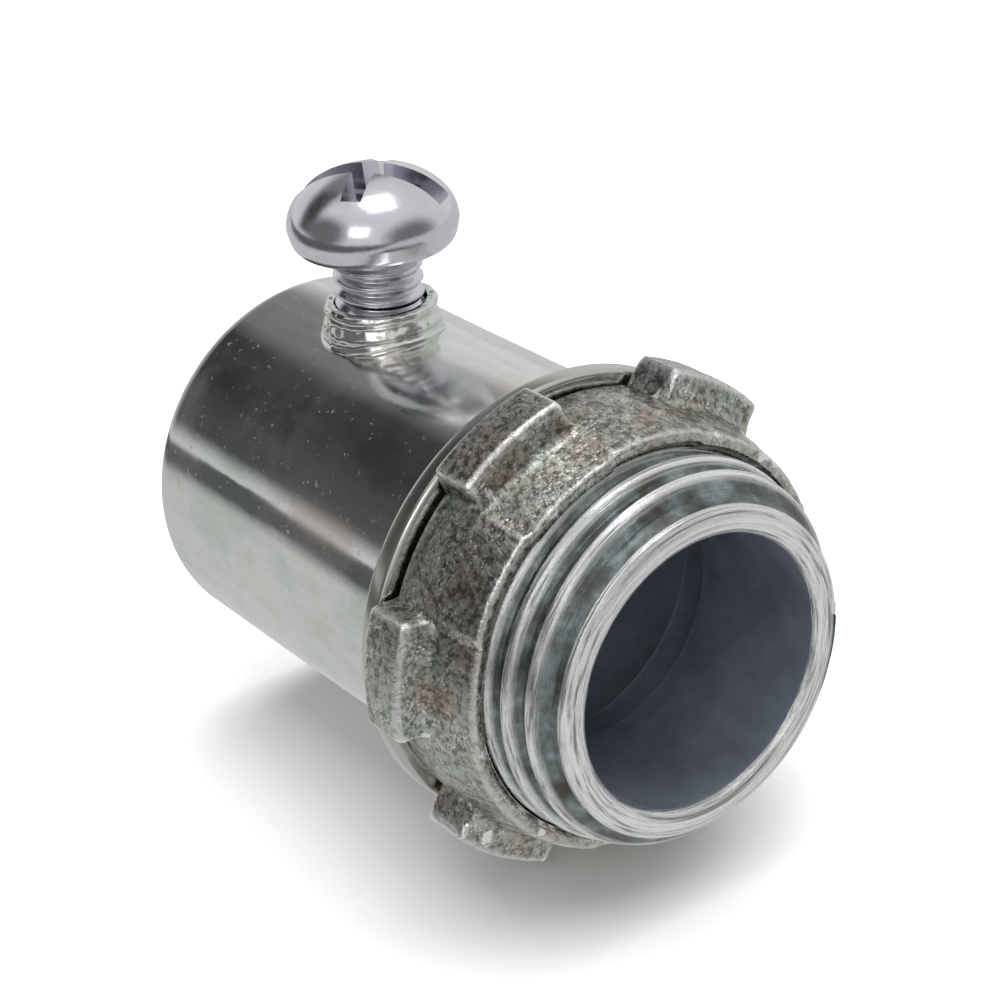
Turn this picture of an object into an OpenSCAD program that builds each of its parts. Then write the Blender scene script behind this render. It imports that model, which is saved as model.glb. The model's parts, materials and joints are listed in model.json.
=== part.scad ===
// Set-screw connector for half-inch thin-wall conduit: one-piece steel body,
// side clamping screw and cast locknut. The axis runs along X towards the
// threaded end, the clamping screw stands along +Z, and the origin lies on the
// axis in the shoulder face that bears on the box wall.

/* [Conduit sleeve] */
// Outside diameter of the conduit that slides in
conduit_d = 17.93; // [12:0.01:30]
// Radial play between conduit and sleeve
conduit_play = 0.11; // [0.05:0.01:0.4]
// Wall thickness of the sleeve
sleeve_wall = 1.31; // [0.8:0.01:2.5]
// Length of the sleeve behind the shoulder
sleeve_len = 22.6; // [16:0.1:60]
// Bevel inside the mouth of the sleeve
mouth_bevel = 0.35; // [0.1:0.05:0.6]

/* [Shoulder] */
// How far the shoulder stands out from the sleeve
shoulder_lip = 1.7; // [0.8:0.1:4]
// Thickness of the shoulder
shoulder_t = 1.3; // [0.8:0.1:3]

/* [Threaded spigot] */
// Outside diameter of the thread
thread_d = 20; // [19.2:0.1:20.8]
// Length of the spigot in front of the shoulder
spigot_len = 10.3; // [9:0.1:20]
// Diameter of the wire way
throat_d = 14.2; // [10:0.1:15]
// Length of the tapered lead at the end of the thread
lead_len = 2.6; // [1.5:0.1:4]
// How much the lead comes in on the radius
lead_drop = 1.3; // [0.8:0.1:1.6]
// Radius of the rounded edge at the mouth of the wire way
lip_r = 0.6; // [0.3:0.05:0.8]
// Diameter of the relief between the wire way and the conduit stop
relief_d = 16; // [15.2:0.1:16.6]
// Distance from the shoulder face forward to the inner end of the wire way
throat_start = 1.7; // [0.5:0.1:3]
// Distance from the shoulder face back to the conduit stop
stop_back = 0.8; // [0.4:0.1:1.2]

/* [Set screw] */
// Outside diameter of the screw's thread
screw_d = 4.8; // [3:0.1:8]
// Radial play between the screw and its tapped hole
screw_play = 0.06; // [0.02:0.01:0.1]
// Distance of the screw from the sleeve's open end
screw_inset = 8.3; // [6:0.1:12]
// Wall of the drawn collar round the screw
collar_wall = 0.66; // [0.4:0.02:2]
// Height of the collar above the sleeve
collar_h = 1.5; // [0.3:0.05:3]
// Diameter of the screw's head
head_d = 9.1; // [8:0.1:14]
// Height of the head's straight rim
head_rim_h = 1.6; // [0.4:0.05:2]
// Height of the head's dome above its rim
head_dome_h = 3; // [2.4:0.1:4]
// Gap between the head and the collar
head_gap = 2.8; // [0.5:0.05:6]
// How far the screw's tip stays outside the conduit's path
tip_back = 0.15; // [0.05:0.01:0.4]
// Width of the driver slot
slot_w = 1.6; // [0.8:0.1:2]
// Depth of the driver slot below the top of the dome
slot_depth = 1.7; // [0.8:0.1:2]
// Direction of the driver slot, measured from the fitting's axis
slot_turn = 38; // [0:1:180]
// Reach of the cross recess from the screw's axis
cross_reach = 3.3; // [1.5:0.1:3.8]
// Width of the cross recess
cross_w = 1.25; // [0.6:0.05:1.6]
// Depth of the cross recess below the top of the dome
cross_depth = 2.2; // [1:0.1:2.4]

/* [Locknut] */
// Radial play between the locknut and the thread
nut_play = 0.05; // [0.02:0.01:0.1]
// Gap between the locknut and the shoulder
nut_gap = 0.25; // [0.05:0.05:4]
// Height of the locknut along the axis
nut_h = 5.85; // [3:0.05:8]
// Wall of the locknut between its lugs, outside the hole
nut_wall = 1.35; // [0.8:0.05:3]
// How far a lug stands out from the hollows
lug_reach = 1.9; // [1:0.1:4]
// Number of lugs
lug_count = 6; // [4:1:8]
// Angle that one lug covers
lug_span = 30; // [16:1:44]
// Angle of the first lug's middle
lug_turn = 54; // [0:1:90]
// Height of a lug at its outer edge
lug_edge_h = 2.75; // [0.8:0.05:3]
// Height of a lug where it runs into the hub
lug_root_h = 3.3; // [1.6:0.05:4]
// Height of the locknut where its hub begins
hub_foot_h = 2.95; // [1.5:0.05:5]
// Width of the flat ring round the locknut's hole
ring_w = 0.5; // [0.3:0.05:1]
// Bevel inside the locknut's hole
nut_bevel = 0.3; // [0.1:0.05:0.5]

/* [Hidden] */
$fn = 96;
// Small overrun that lets a cut break through a face cleanly
over = 1;
socket_r = conduit_d / 2 + conduit_play;
sleeve_r = socket_r + sleeve_wall;
shoulder_r = sleeve_r + shoulder_lip;
thread_r = thread_d / 2;
throat_r = throat_d / 2;
rear_x = -shoulder_t - sleeve_len;
screw_x = rear_x + screw_inset;
screw_r = screw_d / 2;
screw_hole_r = screw_r + screw_play;
collar_r = screw_hole_r + collar_wall;
collar_top = sleeve_r + collar_h;
head_z = collar_top + head_gap;
head_top = head_z + head_rim_h + head_dome_h;
head_r = head_d / 2;
tip_bevel = screw_r / 4;
lead_start = spigot_len - lead_len;
nut_hole_r = thread_r + nut_play;
nut_front = nut_gap + nut_h;
ring_r = nut_hole_r + nut_bevel + ring_w;
hollow_r = nut_hole_r + nut_wall;
lug_r = hollow_r + lug_reach;
lug_pitch = 360 / lug_count;

// Turns an outline of [radius, place along the axis] about the fitting's axis.
module turned_x(outline, angle = 360) {
    rotate([0, 90, 0])
        rotate_extrude(angle = angle, convexity = 6) polygon(outline);
}

// Quarter circle of points round the mouth of the wire way, from the front in.
function lip_arc(steps = 6) = [
    for (i = [0 : steps]) let (a = 90 + 90 * i / steps)
        [throat_r + lip_r + lip_r * cos(a), spigot_len - lip_r + lip_r * sin(a)]
];

// One-piece steel body: sleeve, shoulder, threaded spigot and screw collar.
module connector_body() {
    outer = [
        [0, rear_x],
        [sleeve_r, rear_x],
        [sleeve_r, -shoulder_t],
        [shoulder_r, -shoulder_t],
        [shoulder_r, 0],
        [thread_r, 0],
        [thread_r, lead_start],
        [thread_r - lead_drop, spigot_len - lip_r],
        [throat_r + lip_r, spigot_len],
        [0, spigot_len]
    ];
    bore = concat(
        [
            [0, rear_x - over],
            [socket_r + mouth_bevel, rear_x - over],
            [socket_r + mouth_bevel, rear_x],
            [socket_r, rear_x + mouth_bevel],
            [socket_r, -stop_back],
            [relief_d / 2, -stop_back],
            [relief_d / 2, throat_start],
            [throat_r, throat_start],
            [throat_r, spigot_len - lip_r]
        ],
        [for (i = [5 : -1 : 0]) lip_arc()[i]],
        [
            [throat_r + lip_r, spigot_len + over],
            [0, spigot_len + over]
        ]
    );
    color([0.70, 0.71, 0.70])
    difference() {
        union() {
            turned_x(outer);
            translate([screw_x, 0, 0]) cylinder(r = collar_r, h = collar_top);
        }
        turned_x(bore);
        translate([screw_x, 0, 0]) cylinder(r = screw_hole_r, h = collar_top + over);
    }
}

// Round-headed clamping screw with a slot and a cross recess.
module set_screw() {
    tip_z = socket_r + tip_back;
    rim_z = head_z + head_rim_h;
    dome = [for (a = [0 : 6 : 90]) [head_r * cos(a), rim_z + head_dome_h * sin(a)]];
    color([0.72, 0.72, 0.76])
    translate([screw_x, 0, 0])
    difference() {
        rotate_extrude() polygon(concat(
            [
                [0, tip_z],
                [screw_r - tip_bevel, tip_z],
                [screw_r, tip_z + tip_bevel],
                [screw_r, head_z],
                [head_r, head_z]
            ],
            dome
        ));
        rotate(slot_turn) {
            translate([-head_r - over, -slot_w / 2, head_top - slot_depth])
                cube([2 * (head_r + over), slot_w, slot_depth + over]);
            translate([-cross_w / 2, -cross_reach, head_top - cross_depth])
                cube([cross_w, 2 * cross_reach, cross_depth + over]);
            translate([-cross_reach, -cross_w / 2, head_top - cross_depth])
                cube([2 * cross_reach, cross_w, cross_depth + over]);
        }
    }
}

// Cast locknut: a hub round a plain-drawn thread, with lugs round its foot.
module locknut() {
    hub = [
        [0, nut_gap],
        [hollow_r, nut_gap],
        [hollow_r, nut_gap + hub_foot_h],
        [ring_r, nut_front],
        [0, nut_front]
    ];
    lug = [
        [0, nut_gap],
        [lug_r, nut_gap],
        [lug_r, nut_gap + lug_edge_h],
        [ring_r, nut_gap + lug_root_h],
        [0, nut_gap + lug_root_h]
    ];
    hole = [
        [0, nut_gap - over],
        [nut_hole_r + nut_bevel, nut_gap - over],
        [nut_hole_r + nut_bevel, nut_gap],
        [nut_hole_r, nut_gap + nut_bevel],
        [nut_hole_r, nut_front - nut_bevel],
        [nut_hole_r + nut_bevel, nut_front],
        [nut_hole_r + nut_bevel, nut_front + over],
        [0, nut_front + over]
    ];
    color([0.55, 0.56, 0.52])
    difference() {
        union() {
            turned_x(hub);
            for (i = [0 : lug_count - 1])
                rotate([lug_turn - lug_span / 2 + i * lug_pitch, 0, 0])
                    rotate([90, 0, 90])
                        rotate_extrude(angle = lug_span, convexity = 4) polygon(lug);
        }
        turned_x(hole);
    }
}

connector_body();
set_screw();
locknut();
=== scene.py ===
import json
import math

import bmesh
import bpy
from bpy.props import FloatProperty, FloatVectorProperty, IntProperty, PointerProperty
from mathutils import Matrix, Vector, noise


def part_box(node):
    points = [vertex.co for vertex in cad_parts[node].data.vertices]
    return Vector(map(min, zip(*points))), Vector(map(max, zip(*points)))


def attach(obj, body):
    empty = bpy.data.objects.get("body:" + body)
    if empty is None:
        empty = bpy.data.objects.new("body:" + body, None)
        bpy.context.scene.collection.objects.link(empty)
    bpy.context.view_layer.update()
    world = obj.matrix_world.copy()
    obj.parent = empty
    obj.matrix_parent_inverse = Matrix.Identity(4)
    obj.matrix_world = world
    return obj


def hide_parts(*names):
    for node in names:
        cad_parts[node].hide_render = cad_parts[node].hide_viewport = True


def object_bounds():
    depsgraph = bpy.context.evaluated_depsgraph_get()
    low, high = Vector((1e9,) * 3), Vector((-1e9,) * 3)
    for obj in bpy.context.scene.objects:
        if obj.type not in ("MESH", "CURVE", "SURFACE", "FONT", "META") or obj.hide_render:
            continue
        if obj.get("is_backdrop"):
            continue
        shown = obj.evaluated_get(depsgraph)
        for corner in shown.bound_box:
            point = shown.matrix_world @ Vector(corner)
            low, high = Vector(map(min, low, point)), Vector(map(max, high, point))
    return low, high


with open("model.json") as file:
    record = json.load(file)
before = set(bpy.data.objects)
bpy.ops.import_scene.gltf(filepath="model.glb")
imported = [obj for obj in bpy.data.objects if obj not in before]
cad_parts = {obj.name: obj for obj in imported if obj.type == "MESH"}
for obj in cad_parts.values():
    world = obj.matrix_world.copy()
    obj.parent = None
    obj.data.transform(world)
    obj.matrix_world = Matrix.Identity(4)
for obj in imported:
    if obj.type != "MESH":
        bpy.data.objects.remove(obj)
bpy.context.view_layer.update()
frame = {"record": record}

bl_info = {
    "name": "Set-screw conduit connector",
    "version": (1, 0, 0),
    "blender": (4, 5, 0),
    "location": "View3D > Sidebar > Connector",
    "description": "Builds a plated conduit connector with its clamping screw and cast locknut",
    "category": "Object",
}

MM = 0.001
BODY_LOW, BODY_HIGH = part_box("connector_body")
SCREW_LOW, SCREW_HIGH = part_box("set_screw")
NUT_LOW, NUT_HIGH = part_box("locknut")
MOUNTS = {m["name"]: m for m in frame["record"]["mounts"]}
SCREW_X = (SCREW_LOW.x + SCREW_HIGH.x) / 2
SCREW_PLAY = 0.06 * MM
MERGE_DISTANCE = 1e-7


def mount_radius(name):
    """Radius of one of the record's round mounts, in metres."""
    return MOUNTS[name]["dims"]["r_mm"] * MM


# ---------------------------------------------------------------- settings


def length(name, default, description):
    """A length that a user may change, in metres."""
    return FloatProperty(
        name=name, default=default, description=description, unit="LENGTH", precision=5
    )


def colour(name, default, description):
    """A colour that a user may change."""
    return FloatVectorProperty(
        name=name, default=default, description=description, subtype="COLOR",
        size=3, min=0.0, max=1.0,
    )


class BodySizes(bpy.types.PropertyGroup):
    """Sizes of the one-piece steel body."""

    socket_radius: length("Socket radius", mount_radius("conduit_socket"), "Inside of the sleeve")
    wall: length("Sleeve wall", 1.31 * MM, "Thickness of the sleeve's wall")
    shoulder_thickness: length("Shoulder", 1.3 * MM, "Thickness of the shoulder")
    thread_radius: length("Thread radius", 10.0 * MM, "Crest of the full thread")
    pitch: length("Pitch", 1.45 * MM, "Advance of the spigot's thread in one turn")
    thread_depth: length("Thread depth", 0.62 * MM, "Height of the full thread")
    throat_radius: length("Throat radius", mount_radius("wire_throat"), "Radius of the wire way")
    relief_radius: length("Relief radius", 8.0 * MM, "Radius behind the wire way")
    throat_start: length("Throat start", 1.7 * MM, "Inner end of the wire way")
    stop_back: length("Conduit stop", 0.8 * MM, "Distance of the stop behind the shoulder's face")
    collar_radius: length("Collar radius", 3.12 * MM, "Outside of the drawn collar")
    collar_height: length("Collar height", 1.5 * MM, "Height of the collar above the sleeve")
    steps: IntProperty(name="Steps", default=216, min=64, description="Facets round the body")


class ScrewSizes(bpy.types.PropertyGroup):
    """Sizes of the clamping screw."""

    shank_radius: length("Shank radius", 2.4 * MM, "Crest of the screw's thread")
    pitch: length("Pitch", 0.794 * MM, "Advance of the screw in one turn")
    thread_depth: length("Thread depth", 0.4 * MM, "Height of the screw's thread")
    rim_height: length("Rim", 1.6 * MM, "Height of the head's straight rim")
    dome_height: length("Dome", 3.0 * MM, "Height of the dome above the rim")
    slot_width: length("Slot width", 1.6 * MM, "Width of the driver slot")
    slot_depth: length("Slot depth", 1.7 * MM, "Depth of the driver slot")
    cross_reach: length("Cross reach", 3.3 * MM, "Reach of the cross recess")
    cross_width: length("Cross width", 1.25 * MM, "Width of the cross recess")
    cross_depth: length("Cross depth", 2.3 * MM, "Depth of the cross recess")
    slot_turn: FloatProperty(
        name="Slot turn", default=math.radians(38), subtype="ANGLE",
        description="Direction of the slot from the fitting's axis",
    )


class LocknutSizes(bpy.types.PropertyGroup):
    """Sizes of the cast locknut."""

    hollow_radius: length("Hollow radius", 11.4 * MM, "Radius between the lugs")
    foot_height: length("Hub foot", 2.95 * MM, "Height at which the hub begins")
    edge_height: length("Lug edge", 2.75 * MM, "Height of a lug at its outer edge")
    ring_width: length("Ring", 0.5 * MM, "Flat ring round the hole")
    lugs: IntProperty(name="Lugs", default=6, min=3, description="Number of lugs")
    lug_turn: FloatProperty(
        name="First lug", default=math.radians(54), subtype="ANGLE",
        description="Angle of the first lug's middle",
    )
    lug_span: FloatProperty(
        name="Lug span", default=math.radians(30), subtype="ANGLE",
        description="Angle that one lug covers",
    )
    roughness: length("Cast roughness", 0.03 * MM, "Height of the casting's bumps")
    off_centre: length("Off centre", 0.28 * MM, "How far the lugs are cast off the hole")
    off_turn: FloatProperty(
        name="Off turn", default=math.radians(126), subtype="ANGLE",
        description="Side on which the lugs come out shorter",
    )


class FinishColours(bpy.types.PropertyGroup):
    """Colours of the finishes."""

    zinc: colour("Zinc plate", (0.78, 0.79, 0.77), "Bright plate on the body")
    screw: colour("Screw plate", (0.74, 0.74, 0.79), "Bright plate on the screw")
    cast: colour("Cast nut", (0.42, 0.43, 0.38), "Plated casting")
    # The throat's dark blue-grey is painted shade over a dull plate.
    throat: colour("Throat", (0.20, 0.23, 0.28), "Dull plate inside the wire way")
    floor: colour("Floor", (0.93, 0.93, 0.93), "Pale studio floor")


class StageSettings(bpy.types.PropertyGroup):
    """Place of the camera round the fitting."""

    azimuth: FloatProperty(
        name="Azimuth", default=math.radians(55.52), subtype="ANGLE",
        description="Camera's turn about the vertical",
    )
    elevation: FloatProperty(
        name="Elevation", default=math.radians(26.98), subtype="ANGLE",
        description="Camera's height above the horizon",
    )
    roll: FloatProperty(
        name="Roll", default=math.radians(-4.35), subtype="ANGLE",
        description="Camera's turn about its own line of sight",
    )
    distance: length("Distance", 131.5 * MM, "Camera's distance from its target")
    lens: FloatProperty(name="Lens", default=90.0, min=20.0, description="Focal length in mm")


class ConnectorSettings(bpy.types.PropertyGroup):
    """All of the connector's settings."""

    body: PointerProperty(type=BodySizes)
    screw: PointerProperty(type=ScrewSizes)
    locknut: PointerProperty(type=LocknutSizes)
    colours: PointerProperty(type=FinishColours)
    stage: PointerProperty(type=StageSettings)


# ---------------------------------------------------------------- shapes


def smooth_step(low, high, value):
    """0 below low, 1 above high, and a smooth rise between."""
    share = min(1.0, max(0.0, (value - low) / (high - low)))
    return share * share * (3 - 2 * share)


def rounded(corners, closed=True, arc_steps=5):
    """Points of an outline whose (along, out, radius) corners are rounded."""
    points = []
    count = len(corners)
    for i, (along, out, radius) in enumerate(corners):
        here = Vector((along, out))
        at_end = not closed and i in (0, count - 1)
        if radius <= 0 or at_end:
            points.append(here)
            continue
        before = (Vector(corners[i - 1][:2]) - here).normalized()
        after = (Vector(corners[(i + 1) % count][:2]) - here).normalized()
        half = before.angle(after) / 2
        centre = here + (before + after).normalized() * (radius / math.sin(half))
        first = here + before * (radius / math.tan(half)) - centre
        last = here + after * (radius / math.tan(half)) - centre
        for step in range(arc_steps + 1):
            spoke = first.lerp(last, step / arc_steps).normalized() * radius
            points.append(centre + spoke)
    return points


def split_long(points, longest, closed=True):
    """The same outline with its long stretches divided."""
    result = []
    for i, here in enumerate(points):
        result.append(here)
        if not closed and i == len(points) - 1:
            break
        there = points[(i + 1) % len(points)]
        parts = max(1, math.ceil((there - here).length / longest))
        for part in range(1, parts):
            result.append(here.lerp(there, part / parts))
    return result


def lay_outline(bm, points, closed=True):
    """Vertices and edges of an outline, along X and out along Y."""
    verts = [bm.verts.new((p.x, p.y, 0)) for p in points]
    pairs = list(zip(verts, verts[1:]))
    if closed:
        pairs.append((verts[-1], verts[0]))
    return verts + [bm.edges.new(pair) for pair in pairs]


def sweep_round(bm, geom, steps):
    """Turns an outline right round X, as eight like parts that are then merged."""
    part = math.tau / 8
    about_x = {"cent": (0, 0, 0), "axis": (1, 0, 0), "dvec": (0, 0, 0)}
    bmesh.ops.spin(bm, geom=geom, angle=part, steps=steps // 8, **about_x)
    everything = bm.verts[:] + bm.edges[:] + bm.faces[:]
    bmesh.ops.spin(
        bm, geom=everything, angle=part * 7, steps=7, use_duplicate=True, **about_x
    )
    bmesh.ops.remove_doubles(bm, verts=bm.verts, dist=MERGE_DISTANCE)


def paired(first, second, longest):
    """Two outlines of as many corners, divided so that their points pair up."""
    results = ([], [])
    for i in range(len(first)):
        after = (i + 1) % len(first)
        gap = max((shape[after] - shape[i]).length for shape in (first, second))
        parts = max(1, math.ceil(gap / longest))
        for shape, result in zip((first, second), results):
            result += [shape[i].lerp(shape[after], part / parts) for part in range(parts)]
    return results


def turned(points, steps, closed=True):
    """A closed body of revolution about X."""
    bm = bmesh.new()
    sweep_round(bm, lay_outline(bm, points, closed), steps)
    if not closed:
        bmesh.ops.holes_fill(bm, edges=[e for e in bm.edges if e.is_boundary], sides=0)
    return bm


def join_into(bm, part):
    """Adds part's geometry to bm and frees part; returns what was added."""
    old = set(bm.verts)
    mesh = bpy.data.meshes.new("work")
    part.to_mesh(mesh)
    part.free()
    bm.from_mesh(mesh)
    bpy.data.meshes.remove(mesh)
    return [v for v in bm.verts if v not in old]


def thread_ridge(end, turns, pitch, foot, crest, steps, shape):
    """A helical ridge about X that ends at end. shape(x) gives the share of the
    ridge's full height that stands at x, from 0 to 1, and how far it moves in."""
    half = pitch * 0.5
    corners = [
        (-half, foot, 0), (-pitch * 0.11, crest, pitch * 0.1),
        (pitch * 0.11, crest, pitch * 0.1), (half, foot, 0),
    ]
    sink = Vector((0, (foot - crest) * 0.3))
    points = split_long(rounded(corners, closed=False, arc_steps=3), pitch * 0.2, closed=False)
    points = [points[0] + sink, *points, points[-1] + sink]
    bm = bmesh.new()
    unshaded_crest = bm.verts.layers.float.new("unshaded_crest")
    about_x = {"cent": (0, 0, 0), "axis": (1, 0, 0)}
    bmesh.ops.spin(
        bm, geom=lay_outline(bm, points), angle=math.tau, steps=steps,
        dvec=(pitch / steps, 0, 0), **about_x,
    )
    everything = bm.verts[:] + bm.edges[:] + bm.faces[:]
    bmesh.ops.spin(
        bm, geom=everything, angle=math.tau * (turns - 1), steps=turns - 1,
        dvec=(pitch, 0, 0), use_duplicate=True, **about_x,
    )
    bmesh.ops.remove_doubles(bm, verts=bm.verts, dist=MERGE_DISTANCE)
    bmesh.ops.holes_fill(bm, edges=[e for e in bm.edges if e.is_boundary], sides=0)
    for v in bm.verts:
        v.co.x += end - turns * pitch
        height, drop = shape(v.co.x)
        out = math.hypot(v.co.y, v.co.z)
        # Share of the ridge's height at each vertex, kept as a mask for painted groove shade: 0 at
        # the foot, 1 on the crest.
        v[unshaded_crest] = max(0.0, (out - foot) / (crest - foot)) * height
        wanted = foot + (out - foot) * height - drop
        v.co.y *= wanted / out
        v.co.z *= wanted / out
    return bm


def finished(name, bm, body, node, materials, sharp=math.radians(38)):
    """Turns a bmesh into a piece that stands for a CAD node."""
    bmesh.ops.recalc_face_normals(bm, faces=bm.faces)
    mesh = bpy.data.meshes.new(name)
    for face in bm.faces:
        face.smooth = True
    for edge in bm.edges:
        if len(edge.link_faces) == 2 and edge.calc_face_angle(0) > sharp:
            edge.smooth = False
    bm.to_mesh(mesh)
    bm.free()
    piece = bpy.data.objects.new(name, mesh)
    bpy.context.scene.collection.objects.link(piece)
    for material in materials:
        mesh.materials.append(material)
    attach(piece, body)
    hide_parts(node)
    return piece


def cut_with(bm, cutters):
    """The bmesh after each cutter bmesh has been taken from it."""
    for cutter in cutters:
        meshes = []
        for source in (bm, cutter):
            bmesh.ops.recalc_face_normals(source, faces=source.faces)
            mesh = bpy.data.meshes.new("work")
            source.to_mesh(mesh)
            source.free()
            meshes.append(mesh)
        base, tool = (bpy.data.objects.new("work", m) for m in meshes)
        for ob in (base, tool):
            bpy.context.scene.collection.objects.link(ob)
        modifier = base.modifiers.new("cut", "BOOLEAN")
        modifier.operation = "DIFFERENCE"
        modifier.solver = "EXACT"
        modifier.object = tool
        evaluated = base.evaluated_get(bpy.context.evaluated_depsgraph_get())
        result = bpy.data.meshes.new_from_object(evaluated)
        bm = bmesh.new()
        bm.from_mesh(result)
        for ob in (base, tool):
            bpy.data.objects.remove(ob)
        for mesh in (*meshes, result):
            bpy.data.meshes.remove(mesh)
    return bm


# ---------------------------------------------------------------- body


def lead_radius(x, sizes):
    """Radius of the spigot's crests at x: full at the shoulder, drawn in at the end."""
    drawn_in = 1.18 * MM
    start = BODY_HIGH.x - 4.8 * MM
    finish = BODY_HIGH.x - 0.2 * MM
    share = min(1.0, max(0.0, (x - start) / (finish - start)))
    return sizes.thread_radius - drawn_in * share ** 2.5


def groove_depth(x, sizes):
    """Depth of the spigot's thread at x, which fades towards the lip."""
    fade_length = 2.6 * MM
    lost_at_lip = 0.35
    share = min(1.0, max(0.0, (x - BODY_HIGH.x + fade_length) / fade_length))
    return sizes.thread_depth * (1 - lost_at_lip * share)


def body_outline(sizes):
    """Half section of the body, from the sleeve's outside round to its bore."""
    rear, front = BODY_LOW.x, BODY_HIGH.x
    sleeve = sizes.socket_radius + sizes.wall
    shoulder = BODY_HIGH.y
    back = -sizes.shoulder_thickness
    root_end = front - 0.42 * MM
    lip_middle = 8.02 * MM
    outer = [
        (rear, sizes.socket_radius + 0.2 * MM, 0.1 * MM),
        (rear, sleeve, 0.28 * MM),
        (back, sleeve, 0.25 * MM),
        (back, shoulder, 0.3 * MM),
        (0, shoulder, 0.3 * MM),
        (0, sizes.thread_radius - sizes.thread_depth, 0.2 * MM),
    ]
    root_start = 0.6 * MM
    steps = 14
    for i in range(1, steps + 1):
        x = root_start + (root_end - root_start) * i / steps
        outer.append((x, lead_radius(x, sizes) - groove_depth(x, sizes), 0))
    lip = [
        (front - 0.3 * MM, lead_radius(front, sizes) - 0.1 * MM, 0.12 * MM),
        (front, lip_middle, 0.32 * MM),
        (front, sizes.throat_radius, 0.5 * MM),
        (sizes.throat_start, sizes.throat_radius, 0.1 * MM),
        (sizes.throat_start, sizes.relief_radius, 0.1 * MM),
        (-sizes.stop_back, sizes.relief_radius, 0.15 * MM),
        (-sizes.stop_back, sizes.socket_radius, 0.2 * MM),
        (rear + 0.25 * MM, sizes.socket_radius, 0.1 * MM),
    ]
    return rounded(outer + lip)


def collar_ring(sizes, hole_radius):
    """The drawn collar: a ring about the screw whose foot flares into the sleeve."""
    sleeve = sizes.socket_radius + sizes.wall
    top = sleeve + sizes.collar_height
    flare = 0.22 * MM
    dent_height, dent_size = 0.07 * MM, 0.9 * MM
    nick_height, nick_size = 0.035 * MM, 0.34 * MM
    wall = rounded([
        (top, hole_radius, 0.12 * MM),
        (top, sizes.collar_radius + 0.05 * MM, 0.26 * MM),
        (top - 0.6 * MM, sizes.collar_radius - 0.22 * MM, 0.2 * MM),
        (sleeve + 0.45 * MM, sizes.collar_radius + 0.06 * MM, 0.3 * MM),
        (sleeve + 0.14 * MM, sizes.collar_radius - 0.02 * MM, 0.3 * MM),
        (sleeve + 0.02 * MM, sizes.collar_radius + flare, 0),
        (sleeve - 0.25 * MM, sizes.collar_radius + flare, 0),
        (sizes.socket_radius + 0.2 * MM, hole_radius + 0.5 * MM, 0),
        (sizes.socket_radius, hole_radius + 0.1 * MM, 0),
    ])
    bm = turned(split_long(wall, 0.14 * MM), 192)
    for v in bm.verts:
        height, side, along = v.co.x, v.co.y, v.co.z
        out = math.hypot(side, along)
        share = min(1.0, max(0.0, (top - height) / (top - sleeve)))
        sag = sleeve - math.sqrt(max(0.0, sleeve ** 2 - side ** 2))
        beat = 1.0
        if out > hole_radius + 0.05 * MM and height > sleeve - 0.1 * MM:
            dent = noise.noise(Vector((side, along, height * 0.6)) / dent_size)
            nick = noise.noise(Vector((side, along, height)) / nick_size)
            hold = smooth_step(-0.2 * MM, 0.3 * MM, sizes.collar_radius + flare - out)
            ripple = (dent * dent_height + nick * nick_height) * hold
            height += ripple * 0.6
            beat += ripple / out
        v.co = Vector((SCREW_X + along * beat, side * beat, height - sag * share))
    return bm


def dress_sleeve(verts, sizes):
    """Presses the sleeve in a little round the collar and makes it less than perfect."""
    sleeve = sizes.socket_radius + sizes.wall
    wave_height, wave_size = 0.03 * MM, 9 * MM
    press_depth, press_middle, press_width = 0.07 * MM, 4.0 * MM, 2.4 * MM
    for v in verts:
        x, y, z = v.co
        out = math.hypot(y, z)
        if out < sleeve - 0.2 * MM or x > -sizes.shoulder_thickness - 0.1 * MM:
            continue
        wave = noise.noise(Vector((x, y, z)) / wave_size) * wave_height
        press = 0.0
        if z > 0:
            reach = math.hypot(x - SCREW_X, y)
            press = -press_depth * math.exp(-((reach - press_middle) / press_width) ** 2)
        scale = (out + wave + press) / out
        v.co.y *= scale
        v.co.z *= scale


def regions(bm, sizes):
    """Gives each face its finish: 0 sleeve, 1 thread and lip, 2 inside."""
    for face in bm.faces:
        centre = face.calc_center_median()
        out = math.hypot(centre.y, centre.z)
        if centre.x > 0.05 * MM and out > sizes.throat_radius + 0.02 * MM and not (
            centre.x < BODY_HIGH.x - 1.5 * MM and out < sizes.relief_radius + 0.2 * MM
        ):
            face.material_index = 1
        elif out < sizes.socket_radius + 0.05 * MM:
            face.material_index = 2
        else:
            face.material_index = 0


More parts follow.
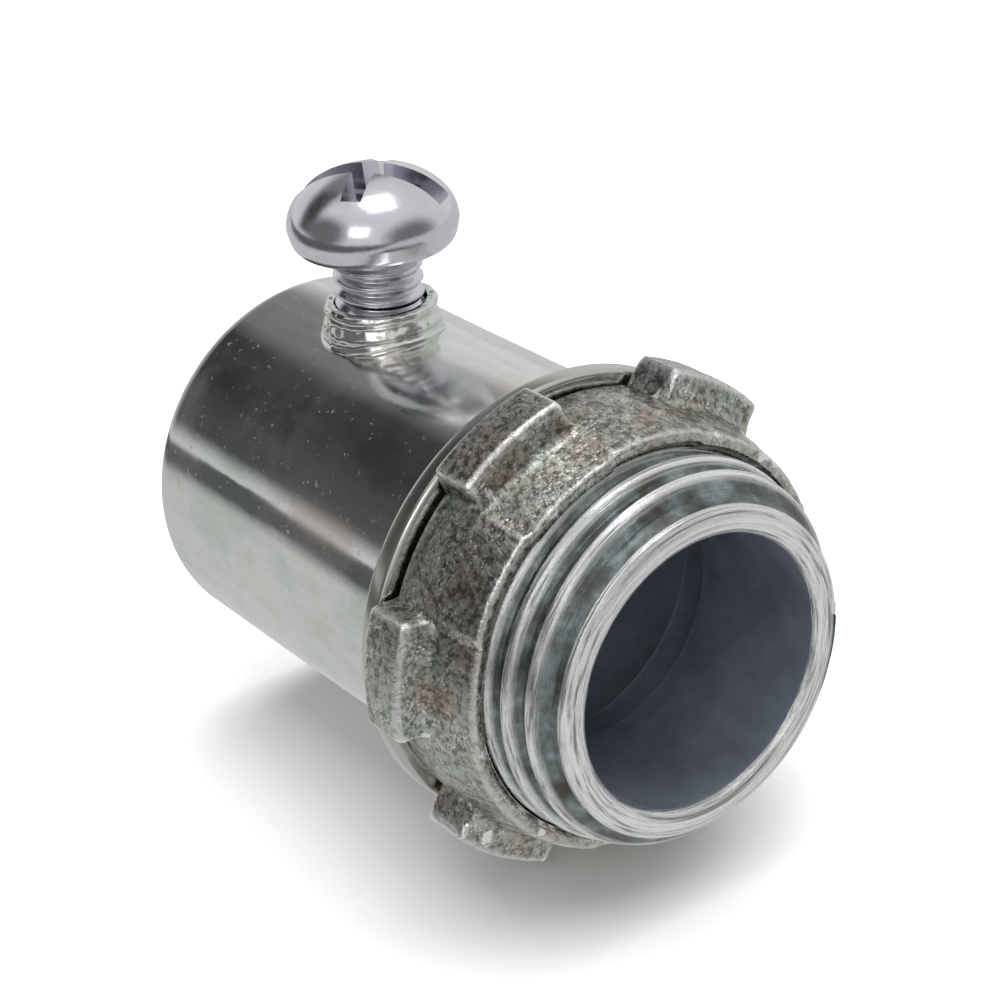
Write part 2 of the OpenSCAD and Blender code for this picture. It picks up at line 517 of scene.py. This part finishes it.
class OBJECT_OT_connector_body(bpy.types.Operator):
    """Builds the one-piece body with its collar, shoulder and thread"""

    bl_idname = "object.connector_body"
    bl_label = "Connector body"

    def execute(self, context):
        sizes = context.scene.connector.body
        hole_radius = context.scene.connector.screw.shank_radius + SCREW_PLAY
        bm = turned(split_long(body_outline(sizes), 0.36 * MM), sizes.steps)
        dress_sleeve(bm.verts, sizes)
        cutter = bmesh.new()
        bmesh.ops.create_cone(
            cutter, cap_ends=True, segments=64, radius1=hole_radius + 0.25 * MM,
            radius2=hole_radius + 0.25 * MM, depth=12 * MM,
            matrix=Matrix.Translation((SCREW_X, 0, sizes.socket_radius + 3 * MM)),
        )
        bm = cut_with(bm, [cutter])
        # The lip is marked as crest, so the painted groove shade stays off it.
        unshaded_crest = bm.verts.layers.float.new("unshaded_crest")
        lip_start = BODY_HIGH.x - 0.45 * MM
        for v in bm.verts:
            if v.co.x > lip_start:
                v[unshaded_crest] = 1.0
        join_into(bm, collar_ring(sizes, hole_radius))

        def crest(x):
            rise = min(1.0, max(0.05, (x - 0.6 * MM) / (1.2 * MM)))
            fade = groove_depth(x, sizes) / sizes.thread_depth
            fall = min(1.0, max(0.0, (BODY_HIGH.x - 0.15 * MM - x) / (0.8 * MM)))
            drop = sizes.thread_radius - lead_radius(x, sizes)
            drop -= sizes.thread_depth - groove_depth(x, sizes)
            return rise * fade * fall, drop

        join_into(bm, thread_ridge(
            BODY_HIGH.x - 0.77 * MM, 6, sizes.pitch,
            sizes.thread_radius - sizes.thread_depth, sizes.thread_radius, 240, crest,
        ))
        regions(bm, sizes)
        finished(
            "body_shell", bm, "connector_body", "connector_body",
            [sleeve_zinc(), thread_zinc(), throat_painted_shade()],
        )
        return {"FINISHED"}


# ---------------------------------------------------------------- screw


def stand_up(verts):
    """Turns what was made along X to stand along Z at the screw's place."""
    for v in verts:
        along, y, z = v.co
        v.co = Vector((SCREW_X + z, y, along))


def cross_cutter(sizes, top):
    """The cross recess: two blades that narrow downwards."""
    cutters = []
    for quarter in range(2):
        blade = bmesh.new()
        bmesh.ops.create_cube(blade, size=1.0)
        for v in blade.verts:
            deep = v.co.z < 0
            reach = sizes.cross_reach * (0.5 if deep else 1.45)
            width = sizes.cross_width * (0.7 if deep else 1.1)
            v.co.x *= 2 * reach
            v.co.y *= width
            v.co.z = top - sizes.cross_depth if deep else top + 1.0 * MM
        turn = Matrix.Rotation(sizes.slot_turn + quarter * math.pi / 2, 4, "Z")
        place = Matrix.Translation((SCREW_X, 0, 0)) @ turn
        bmesh.ops.transform(blade, matrix=place, verts=blade.verts)
        cutters.append(blade)
    return cutters


def slot_cutter(sizes, top):
    """The driver slot, right across the head."""
    slot = bmesh.new()
    bmesh.ops.create_cube(slot, size=1.0)
    for v in slot.verts:
        v.co.x *= 30 * MM
        v.co.y *= sizes.slot_width
        v.co.z = top - sizes.slot_depth if v.co.z < 0 else top + 1.0 * MM
    turn = Matrix.Rotation(sizes.slot_turn, 4, "Z")
    place = Matrix.Translation((SCREW_X, 0, 0)) @ turn
    bmesh.ops.transform(slot, matrix=place, verts=slot.verts)
    return slot


def head_outline(sizes, head_radius, under, top):
    """Half section of the round head, from its axis below to its axis above."""
    rim = under + sizes.rim_height
    points = rounded([
        (under, 0.2 * MM, 0), (under, head_radius - 1.5 * MM, 1.0 * MM),
        (under + 0.55 * MM, head_radius - 0.25 * MM, 0.8 * MM),
        (rim - 0.1 * MM, head_radius - 0.01 * MM, 0.3 * MM), (rim, head_radius, 0),
    ], closed=False)
    steps = 30
    for i in range(1, steps):
        angle = math.pi / 2 * i / steps
        points.append(Vector((
            rim + (top - rim) * math.sin(angle), head_radius * math.cos(angle)
        )))
    return points


class OBJECT_OT_connector_screw(bpy.types.Operator):
    """Builds the round-headed clamping screw"""

    bl_idname = "object.connector_screw"
    bl_label = "Set screw"

    def execute(self, context):
        sizes = context.scene.connector.screw
        head_radius = (SCREW_HIGH.y - SCREW_LOW.y) / 2
        top, tip = SCREW_HIGH.z, SCREW_LOW.z
        under = top - sizes.rim_height - sizes.dome_height
        bm = turned(head_outline(sizes, head_radius, under, top), 128, closed=False)
        stand_up(bm.verts)
        bm = cut_with(bm, [slot_cutter(sizes, top), *cross_cutter(sizes, top)])
        root = sizes.shank_radius - sizes.thread_depth
        shank = split_long(rounded([
            (tip, 0.1 * MM, 0), (tip, root - 0.35 * MM, 0.15 * MM),
            (tip + 0.5 * MM, root, 0.1 * MM), (under - 0.25 * MM, root, 0.1 * MM),
            (under + 0.05 * MM, root + 0.35 * MM, 0), (under + 0.3 * MM, root, 0),
            (under + 0.3 * MM, 0.1 * MM, 0),
        ], closed=False), 0.4 * MM, closed=False)
        shaft = turned(shank, 96, closed=False)

        def crest(x):
            rise = min(1.0, max(0.05, (x - tip) / (0.7 * MM)))
            fall = min(1.0, max(0.05, (under - 0.1 * MM - x) / (0.4 * MM)))
            return rise * fall, 0.0

        turns = int((under - tip - 0.3 * MM) / sizes.pitch)
        join_into(shaft, thread_ridge(
            under - 0.1 * MM, turns, sizes.pitch, root, sizes.shank_radius, 96, crest,
        ))
        stand_up(shaft.verts)
        join_into(bm, shaft)
        finished("screw_piece", bm, "set_screw", "set_screw", [screw_zinc()])
        return {"FINISHED"}


# ---------------------------------------------------------------- locknut


def lug_share(angle, sizes):
    """How far the outline stands out as a lug at this angle, from 0 to 1."""
    pitch = math.tau / sizes.lugs
    away = abs((angle - sizes.lug_turn + pitch / 2) % pitch - pitch / 2)
    flank = math.radians(1.6)
    edge = sizes.lug_span / 2
    return 1 - smooth_step(edge - flank, edge + flank, away)


def casting(place, sizes):
    """Height of the casting's bumps at a place."""
    broad = noise.noise(place / (2.6 * MM))
    small = noise.noise(place / (0.9 * MM) + Vector((3, 7, 1)))
    grit = noise.noise(place / (0.38 * MM) + Vector((9, 2, 5)))
    return sizes.roughness * (broad + 0.7 * small + 0.45 * grit)


class OBJECT_OT_connector_locknut(bpy.types.Operator):
    """Builds the cast locknut with its lugs and thread"""

    bl_idname = "object.connector_locknut"
    bl_label = "Locknut"

    def execute(self, context):
        settings = context.scene.connector
        sizes = settings.locknut
        thread = settings.body
        back, front = NUT_LOW.x, NUT_HIGH.x
        lug_radius = max(NUT_HIGH.z, -NUT_LOW.z)
        hole = thread.thread_radius + 0.08 * MM
        ring = hole + 0.3 * MM + sizes.ring_width
        hub = [
            (front, ring, 0.32 * MM), (front, hole + 0.25 * MM, 0.15 * MM),
            (front - 0.35 * MM, hole, 0.1 * MM), (back + 0.35 * MM, hole, 0.1 * MM),
            (back, hole + 0.3 * MM, 0.1 * MM),
        ]
        foot = back + sizes.foot_height
        low, high = paired(
            rounded([
                (back, sizes.hollow_radius, 0.2 * MM),
                (foot - 0.9 * MM, sizes.hollow_radius + 0.03 * MM, 0.2 * MM),
                (foot, sizes.hollow_radius, 0.25 * MM), *hub,
            ]),
            rounded([
                (back, lug_radius, 0.3 * MM), (back + sizes.edge_height, lug_radius, 0.4 * MM),
                (foot, sizes.hollow_radius + 0.1 * MM, 0.7 * MM), *hub,
            ]),
            0.26 * MM,
        )
        bm = bmesh.new()
        lug_along = bm.verts.layers.float.new("lug_along")
        lug_out = bm.verts.layers.float.new("lug_out")
        verts = [bm.verts.new((p.x, p.y, 0)) for p in low]
        for v, target in zip(verts, high):
            v[lug_along] = target.x - v.co.x
            v[lug_out] = target.y - v.co.y
        edges = [bm.edges.new((verts[i - 1], verts[i])) for i in range(len(verts))]
        sweep_round(bm, verts + edges, 640)
        for v in bm.verts:
            out = math.hypot(v.co.y, v.co.z)
            angle = math.atan2(v.co.z, v.co.y)
            share = lug_share(angle, sizes)
            rough = casting(v.co, sizes) * smooth_step(hole, hole + 0.6 * MM, out)
            lean = sizes.off_centre * math.cos(angle - sizes.off_turn)
            wanted = out + share * (v[lug_out] - lean) + rough
            v.co.x += share * v[lug_along] + rough * 0.7
            v.co.x = max(back, v.co.x)
            v.co.y *= wanted / out
            v.co.z *= wanted / out

        def crest(x):
            rise = min(1.0, max(0.05, (x - back) / (0.8 * MM)))
            fall = min(1.0, max(0.05, (front - x) / (0.8 * MM)))
            return rise * fall, 0.0

        join_into(bm, thread_ridge(
            front - 0.2 * MM, 4, thread.pitch, hole + 0.03 * MM,
            thread.thread_radius - thread.thread_depth * 0.7, 180, crest,
        ))
        finished("locknut_casting", bm, "locknut", "locknut", [cast_nut()])
        return {"FINISHED"}


# ---------------------------------------------------------------- finishes


def add_node(tree, kind, **values):
    """A shader node with its settings; names of inputs use spaces as underscores."""
    node = tree.nodes.new(kind)
    for name, value in values.items():
        key = name.replace("_", " ")
        if key in node.inputs:
            node.inputs[key].default_value = value
        else:
            setattr(node, name, value)
    return node


def ramp(tree, source, stops):
    """A colour ramp over a value; stops are (place, colour)."""
    node = tree.nodes.new("ShaderNodeValToRGB")
    elements = node.color_ramp.elements
    while len(elements) < len(stops):
        elements.new(0.5)
    for element, (place, shade) in zip(elements, stops):
        element.position = place
        element.color = (*shade, 1) if len(shade) == 3 else shade
    tree.links.new(source, node.inputs["Fac"])
    return node.outputs["Color"]


def grey(value):
    """A grey colour."""
    return (value, value, value)


def blend(tree, share, first, second, mode="MIX"):
    """Mixes two colours or sockets."""
    node = tree.nodes.new("ShaderNodeMix")
    node.data_type = "RGBA"
    node.blend_type = mode
    for socket, value in zip((node.inputs[0], node.inputs[6], node.inputs[7]),
                             (share, first, second)):
        if isinstance(value, bpy.types.NodeSocket):
            tree.links.new(value, socket)
        elif isinstance(value, (int, float)):
            socket.default_value = value
        else:
            socket.default_value = (*value, 1)
    return node.outputs[2]


def calculate(tree, operation, *values):
    """A Math node; each value is a number or a socket."""
    node = tree.nodes.new("ShaderNodeMath")
    node.operation = operation
    for socket, value in zip(node.inputs, values):
        if isinstance(value, bpy.types.NodeSocket):
            tree.links.new(value, socket)
        else:
            socket.default_value = value
    return node.outputs[0]


def new_group(name, inputs, outputs):
    """An empty node group with its sockets; returns the tree and its two end nodes."""
    tree = bpy.data.node_groups.new(name, "ShaderNodeTree")
    for label, kind, default in inputs:
        socket = tree.interface.new_socket(label, in_out="INPUT", socket_type=kind)
        if default is not None:
            socket.default_value = default
    for label, kind in outputs:
        tree.interface.new_socket(label, in_out="OUTPUT", socket_type=kind)
    return tree, tree.nodes.new("NodeGroupInput"), tree.nodes.new("NodeGroupOutput")


def mottle_group():
    """Cloudy plating: a broad mask and a fine speckle."""
    tree = bpy.data.node_groups.get("plate_mottle")
    if tree:
        return tree
    tree, start, end = new_group(
        "plate_mottle",
        [("Vector", "NodeSocketVector", None), ("Broad", "NodeSocketFloat", 200.0),
         ("Fine", "NodeSocketFloat", 2500.0)],
        [("Cloud", "NodeSocketFloat"), ("Speckle", "NodeSocketFloat")],
    )
    cloud = add_node(tree, "ShaderNodeTexNoise", Detail=5.0, Roughness=0.6)
    speck = add_node(tree, "ShaderNodeTexNoise", Detail=3.0, Roughness=0.7)
    for node, label in ((cloud, "Broad"), (speck, "Fine")):
        tree.links.new(start.outputs["Vector"], node.inputs["Vector"])
        tree.links.new(start.outputs[label], node.inputs["Scale"])
    tree.links.new(cloud.outputs["Fac"], end.inputs["Cloud"])
    tree.links.new(speck.outputs["Fac"], end.inputs["Speckle"])
    return tree


def streak_group():
    """Marks drawn out along one direction."""
    tree = bpy.data.node_groups.get("drawn_streaks")
    if tree:
        return tree
    tree, start, end = new_group(
        "drawn_streaks",
        [("Vector", "NodeSocketVector", None), ("Stretch", "NodeSocketVector", (1, 1, 1)),
         ("Scale", "NodeSocketFloat", 600.0)],
        [("Streak", "NodeSocketFloat")],
    )
    scaled = tree.nodes.new("ShaderNodeVectorMath")
    scaled.operation = "MULTIPLY"
    marks = add_node(tree, "ShaderNodeTexNoise", Detail=6.0, Roughness=0.65)
    tree.links.new(start.outputs["Vector"], scaled.inputs[0])
    tree.links.new(start.outputs["Stretch"], scaled.inputs[1])
    tree.links.new(scaled.outputs[0], marks.inputs["Vector"])
    tree.links.new(start.outputs["Scale"], marks.inputs["Scale"])
    tree.links.new(marks.outputs["Fac"], end.inputs["Streak"])
    return tree


def metal(name, base, roughness):
    """A metal material: the tree, its shader and the object coordinates."""
    material = bpy.data.materials.new(name)
    material.use_nodes = True
    material.diffuse_color = (*base, 1)
    tree = material.node_tree
    shader = tree.nodes["Principled BSDF"]
    shader.inputs["Base Color"].default_value = (*base, 1)
    shader.inputs["Metallic"].default_value = 1.0
    shader.inputs["Roughness"].default_value = roughness
    place = tree.nodes.new("ShaderNodeTexCoord").outputs["Object"]
    return material, tree, shader, place


def use_group(tree, group, place, **values):
    """Places a node group and feeds its Vector."""
    node = tree.nodes.new("ShaderNodeGroup")
    node.node_tree = group
    tree.links.new(place, node.inputs["Vector"])
    for label, value in values.items():
        node.inputs[label].default_value = value
    return node


def bump(tree, shader, height, distance, strength=1.0, normal=None):
    """Feeds a height to the shader's normal."""
    node = add_node(tree, "ShaderNodeBump", Strength=strength, Distance=distance)
    tree.links.new(height, node.inputs["Height"])
    if normal is not None:
        tree.links.new(normal, node.inputs["Normal"])
    tree.links.new(node.outputs["Normal"], shader.inputs["Normal"])
    return node.outputs["Normal"]


def sleeve_zinc():
    """Bright plate on drawn steel, with faint colour, clouds and fine flecks."""
    base = tuple(bpy.context.scene.connector.colours.zinc)
    shoulder_shade, shoulder_roughness = (0.56, 0.57, 0.53), 0.2
    material, tree, shader, place = metal("sleeve_zinc", base, 0.12)
    mottle = use_group(tree, mottle_group(), place, Broad=170.0, Fine=2600.0)
    streak = use_group(tree, streak_group(), place, Stretch=(0.12, 1, 1), Scale=900.0)
    tint = ramp(tree, mottle.outputs["Cloud"], [
        (0.36, (0.64, 0.70, 0.65)), (0.5, base), (0.64, (0.74, 0.70, 0.67)),
    ])
    shade = ramp(tree, streak.outputs["Streak"], [(0.3, grey(0.88)), (0.6, grey(1.0))])
    plate = blend(tree, 1.0, tint, shade, "MULTIPLY")
    parts = tree.nodes.new("ShaderNodeSeparateXYZ")
    tree.links.new(place, parts.inputs[0])
    sizes = bpy.context.scene.connector.body
    rear = -sizes.shoulder_thickness - 0.1 * MM
    shoulder = calculate(tree, "GREATER_THAN", parts.outputs["X"], rear)
    plate = blend(tree, shoulder, plate, shoulder_shade)
    tree.links.new(plate, shader.inputs["Base Color"])
    rough = ramp(tree, mottle.outputs["Cloud"], [(0.35, grey(0.07)), (0.65, grey(0.17))])
    rough = blend(tree, shoulder, rough, grey(shoulder_roughness))
    tree.links.new(rough, shader.inputs["Roughness"])
    peel = add_node(tree, "ShaderNodeTexNoise", Scale=420.0, Detail=2.0)
    tree.links.new(place, peel.inputs["Vector"])
    waves = bump(tree, shader, peel.outputs["Fac"], 0.03 * MM, 0.35)
    pits = ramp(tree, mottle.outputs["Speckle"], [(0.66, grey(0.0)), (0.74, grey(1.0))])
    bump(tree, shader, pits, 0.01 * MM, 0.5, waves)
    return material


def ring_place(tree, place):
    """Coordinates whose first two parts stay the same round the fitting's axis."""
    parts = tree.nodes.new("ShaderNodeSeparateXYZ")
    tree.links.new(place, parts.inputs[0])
    across = calculate(tree, "MULTIPLY", parts.outputs["Y"], parts.outputs["Y"])
    upward = calculate(tree, "MULTIPLY", parts.outputs["Z"], parts.outputs["Z"])
    radius = calculate(tree, "SQRT", calculate(tree, "ADD", across, upward))
    joined = tree.nodes.new("ShaderNodeCombineXYZ")
    tree.links.new(parts.outputs["X"], joined.inputs[0])
    tree.links.new(radius, joined.inputs[1])
    tree.links.new(parts.outputs["Z"], joined.inputs[2])
    return joined.outputs[0]


def groove_shade_mask(tree, low, high):
    """Mask for the painted shade in the grooves, from the piece's own attribute."""
    node = tree.nodes.new("ShaderNodeAttribute")
    node.attribute_name = "unshaded_crest"
    return ramp(tree, node.outputs["Fac"], [(low, grey(0.0)), (high, grey(1.0))])


def thread_zinc():
    """Bright worked plate on the thread and lip, with painted shade down in the grooves."""
    material, tree, shader, place = metal("thread_zinc", (0.80, 0.81, 0.78), 0.2)
    mottle = use_group(tree, mottle_group(), place, Broad=520.0, Fine=4200.0)
    rings = ring_place(tree, place)
    streak = use_group(tree, streak_group(), rings, Stretch=(7.0, 7.0, 0.6), Scale=800.0)
    # Dark colour painted into the grooves as shade, varied by the mottle.
    tone_and_groove_shade = ramp(tree, mottle.outputs["Cloud"], [
        (0.36, (0.10, 0.09, 0.08)), (0.5, (0.17, 0.20, 0.20)), (0.62, (0.32, 0.38, 0.38)),
    ])
    bright = ramp(tree, streak.outputs["Streak"], [
        (0.38, (0.34, 0.35, 0.33)), (0.47, (0.80, 0.82, 0.80)), (0.58, (0.98, 0.99, 0.98)),
    ])
    tint = blend(tree, groove_shade_mask(tree, 0.45, 0.85), tone_and_groove_shade, bright)
    tree.links.new(tint, shader.inputs["Base Color"])
    rough = ramp(tree, streak.outputs["Streak"], [(0.38, grey(0.34)), (0.6, grey(0.12))])
    tree.links.new(rough, shader.inputs["Roughness"])
    bump(tree, shader, streak.outputs["Streak"], 0.09 * MM, 0.9)
    return material


def throat_painted_shade():
    """Dull plate inside the fitting, darkened to blue-grey with painted shade."""
    base = tuple(bpy.context.scene.connector.colours.throat)
    material, tree, shader, place = metal("throat_painted_shade", base, 0.5)
    shader.inputs["Metallic"].default_value = 0.55
    mottle = use_group(tree, mottle_group(), place, Broad=350.0, Fine=3000.0)
    tint = ramp(tree, mottle.outputs["Cloud"], [
        (0.35, tuple(c * 0.8 for c in base)), (0.65, tuple(min(1, c * 1.15) for c in base)),
    ])
    tree.links.new(tint, shader.inputs["Base Color"])
    rough = ramp(tree, mottle.outputs["Speckle"], [(0.3, grey(0.42)), (0.7, grey(0.6))])
    tree.links.new(rough, shader.inputs["Roughness"])
    bump(tree, shader, mottle.outputs["Speckle"], 0.015 * MM, 0.5)
    return material


def screw_zinc():
    """Smooth bright plate on the screw."""
    base = tuple(bpy.context.scene.connector.colours.screw)
    material, tree, shader, place = metal("screw_zinc", base, 0.18)
    mottle = use_group(tree, mottle_group(), place, Broad=500.0, Fine=4500.0)
    tint = ramp(tree, mottle.outputs["Cloud"], [
        (0.35, tuple(c * 0.9 for c in base)), (0.65, base),
    ])
    tree.links.new(tint, shader.inputs["Base Color"])
    rough = ramp(tree, mottle.outputs["Speckle"], [(0.35, grey(0.14)), (0.7, grey(0.24))])
    tree.links.new(rough, shader.inputs["Roughness"])
    bump(tree, shader, mottle.outputs["Speckle"], 0.006 * MM, 0.5)
    return material


def cast_nut():
    """Plate over a rough casting, lighter on its sharp convex edges."""
    base = tuple(bpy.context.scene.connector.colours.cast)
    fleck_shade, convex_edge_colour = (0.85, 0.87, 0.85), (0.90, 0.91, 0.90)
    material, tree, shader, place = metal("cast_nut", base, 0.4)
    mottle = use_group(tree, mottle_group(), place, Broad=330.0, Fine=2600.0)
    tint = ramp(tree, mottle.outputs["Cloud"], [
        (0.38, (0.44, 0.37, 0.31)), (0.5, base), (0.62, (0.42, 0.46, 0.41)),
    ])
    grain = ramp(tree, mottle.outputs["Speckle"], [(0.40, grey(0.4)), (0.58, grey(1.15))])
    tone_and_groove_shade = blend(tree, 1.0, tint, grain, "MULTIPLY")
    grit = use_group(tree, mottle_group(), place, Broad=900.0, Fine=6000.0)
    fleck = ramp(tree, grit.outputs["Speckle"], [(0.54, grey(0.0)), (0.60, grey(1.0))])
    patch = ramp(tree, grit.outputs["Cloud"], [(0.44, grey(0.0)), (0.58, grey(1.0))])
    flecks = blend(tree, 1.0, fleck, patch, "MULTIPLY")
    tone_and_groove_shade = blend(tree, flecks, tone_and_groove_shade, fleck_shade)
    # Lighter colour on sharp convex edges, found from the pointiness.
    edge = tree.nodes.new("ShaderNodeNewGeometry").outputs["Pointiness"]
    convex_edge_share = ramp(tree, edge, [(0.505, grey(0.0)), (0.545, grey(1.0))])
    tree.links.new(blend(tree, convex_edge_share, tone_and_groove_shade, convex_edge_colour), shader.inputs["Base Color"])
    rough = ramp(tree, mottle.outputs["Speckle"], [(0.3, grey(0.16)), (0.7, grey(0.38))])
    tree.links.new(rough, shader.inputs["Roughness"])
    bump(tree, shader, mottle.outputs["Speckle"], 0.07 * MM, 0.9)
    return material


# ---------------------------------------------------------------- stage


def floor_material():
    """Plain pale floor; polished metal mirrors it dark further off on the left side."""
    shade = tuple(bpy.context.scene.connector.colours.floor)
    material = bpy.data.materials.new("pale_floor")
    material.use_nodes = True
    tree = material.node_tree
    tree.nodes.remove(tree.nodes["Principled BSDF"])
    seen = add_node(tree, "ShaderNodeBsdfDiffuse", Color=(*shade, 1))
    place = tree.nodes.new("ShaderNodeTexCoord").outputs["Object"]
    parts = tree.nodes.new("ShaderNodeSeparateXYZ")
    tree.links.new(place, parts.inputs[0])
    leftward = calculate(tree, "DIVIDE", parts.outputs["Y"], -100 * MM)
    mirrored = add_node(tree, "ShaderNodeEmission")
    glow = ramp(tree, leftward, [(0.48, grey(0.62)), (0.80, grey(0.12))])
    tree.links.new(glow, mirrored.inputs["Color"])
    ray = tree.nodes.new("ShaderNodeLightPath")
    mix = tree.nodes.new("ShaderNodeMixShader")
    tree.links.new(ray.outputs["Is Glossy Ray"], mix.inputs[0])
    tree.links.new(seen.outputs[0], mix.inputs[1])
    tree.links.new(mirrored.outputs[0], mix.inputs[2])
    tree.links.new(mix.outputs[0], tree.nodes["Material Output"].inputs["Surface"])
    return material


def dark_patch(tree, toward, centre, core, edge):
    """1 within an angle of a direction, falling to 0 at a wider one."""
    dot = tree.nodes.new("ShaderNodeVectorMath")
    dot.operation = "DOT_PRODUCT"
    tree.links.new(toward, dot.inputs[0])
    dot.inputs[1].default_value = Vector(centre).normalized()
    return ramp(tree, dot.outputs["Value"], [
        (math.cos(math.radians(edge)), grey(0.0)), (math.cos(math.radians(core)), grey(1.0)),
    ])


def studio_world():
    """A pale studio: one long dark flag behind the left side, and a dim front left."""
    world = bpy.data.worlds.new("studio")
    world.use_nodes = True
    tree = world.node_tree
    toward = tree.nodes.new("ShaderNodeTexCoord").outputs["Generated"]
    parts = tree.nodes.new("ShaderNodeSeparateXYZ")
    tree.links.new(toward, parts.inputs[0])
    x, y, z = parts.outputs
    turn = calculate(tree, "ARCTAN2", z, y)
    turn = calculate(tree, "MULTIPLY_ADD", turn, 0.5 / math.pi, 0.5)
    light = 0.74
    flag = ramp(tree, turn, [(0.5 + angle / 360, grey(shade)) for angle, shade in (
        (34, light), (52, 0.26), (86, 0.2), (99, 0.05), (128, 0.04), (146, 0.075),
        (166, 0.09), (178, light),
    )])
    reach = ramp(tree, calculate(tree, "MULTIPLY", x, -1.0), [
        (0.5, grey(0.0)), (0.6, grey(1.0)), (0.82, grey(1.0)), (0.9, grey(0.0)),
    ])
    front_left = dark_patch(tree, toward, (-0.22, -0.9, 0.36), 20, 36)
    front_right = dark_patch(tree, toward, (0.95, 0.3, 0.1), 24, 44)
    shade = blend(tree, reach, grey(light), flag)
    shade = blend(tree, front_left, shade, grey(0.16))
    shade = blend(tree, front_right, shade, grey(0.2))
    tree.links.new(shade, tree.nodes["Background"].inputs["Color"])
    tree.nodes["Background"].inputs["Strength"].default_value = 1.0
    return world


def soft_light(name, place, size, power, target):
    """A square softbox that faces a target."""
    data = bpy.data.lights.new(name, "AREA")
    data.shape = "RECTANGLE"
    data.size, data.size_y = size
    data.energy = power
    light = bpy.data.objects.new(name, data)
    bpy.context.scene.collection.objects.link(light)
    light.location = place
    light.rotation_euler = (Vector(target) - Vector(place)).to_track_quat("-Z", "Y").to_euler()
    return light


class SCENE_OT_connector_stage(bpy.types.Operator):
    """Sets the floor, the lights and the camera"""

    bl_idname = "scene.connector_stage"
    bl_label = "Stage"

    def execute(self, context):
        settings = context.scene.connector.stage
        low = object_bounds()[0]
        bm = bmesh.new()
        half_width = 3.0
        bmesh.ops.create_grid(bm, x_segments=1, y_segments=1, size=half_width)
        for v in bm.verts:
            v.co.z = low.z
        mesh = bpy.data.meshes.new("floor")
        bm.to_mesh(mesh)
        bm.free()
        mesh.materials.append(floor_material())
        floor = bpy.data.objects.new("floor", mesh)
        context.scene.collection.objects.link(floor)
        floor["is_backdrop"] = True
        target = Vector((-7.62, 1.20, 2.34)) * MM
        fill = soft_light("floor_softbox", (0.0, 0.1, 0.6), (0.9, 0.9), 5.5, target)
        fill.visible_glossy = False
        soft_light("key_softbox", (0.20, -0.30, 0.27), (0.18, 0.18), 0.16, target)
        soft_light("top_softbox", (0.0, 0.05, 0.5), (0.22, 0.22), 0.35, target)
        context.scene.world = studio_world()
        context.scene.view_settings.view_transform = "Standard"
        data = bpy.data.cameras.new("camera")
        data.lens = settings.lens
        data.clip_start = 0.005
        camera = bpy.data.objects.new("camera", data)
        context.scene.collection.objects.link(camera)
        flat = math.cos(settings.elevation)
        back = Vector((
            math.sin(settings.azimuth) * flat, -math.cos(settings.azimuth) * flat,
            math.sin(settings.elevation),
        ))
        camera.rotation_mode = "QUATERNION"
        aim = (-back).to_track_quat("-Z", "Y").to_matrix() @ Matrix.Rotation(settings.roll, 3, "Z")
        camera.rotation_quaternion = aim.to_quaternion()
        camera.location = target + back * settings.distance
        context.scene.camera = camera
        return {"FINISHED"}


class VIEW3D_PT_connector(bpy.types.Panel):
    """Lists the connector's pieces and colours"""

    bl_idname = "VIEW3D_PT_connector"
    bl_label = "Conduit connector"
    bl_space_type = "VIEW_3D"
    bl_region_type = "UI"
    bl_category = "Connector"

    def draw(self, context):
        settings = context.scene.connector
        for operator, group in (
            (OBJECT_OT_connector_body, settings.body),
            (OBJECT_OT_connector_screw, settings.screw),
            (OBJECT_OT_connector_locknut, settings.locknut),
            (SCENE_OT_connector_stage, settings.stage),
        ):
            box = self.layout.box()
            box.operator(operator.bl_idname)
            for name in group.__annotations__:
                box.prop(group, name)
        box = self.layout.box()
        for name in settings.colours.__annotations__:
            box.prop(settings.colours, name)


CLASSES = (
    BodySizes, ScrewSizes, LocknutSizes, FinishColours, StageSettings, ConnectorSettings,
    OBJECT_OT_connector_body, OBJECT_OT_connector_screw, OBJECT_OT_connector_locknut,
    SCENE_OT_connector_stage, VIEW3D_PT_connector,
)


def register():
    """Adds the classes and the scene's settings."""
    for cls in CLASSES:
        bpy.utils.register_class(cls)
    bpy.types.Scene.connector = PointerProperty(type=ConnectorSettings)


def unregister():
    """Takes the classes and the settings away."""
    del bpy.types.Scene.connector
    for cls in reversed(CLASSES):
        bpy.utils.unregister_class(cls)


def main():
    """Builds every piece and the stage."""
    register()
    bpy.ops.object.connector_body()
    bpy.ops.object.connector_screw()
    bpy.ops.object.connector_locknut()
    bpy.ops.scene.connector_stage()


if __name__ == "__main__":
    main()
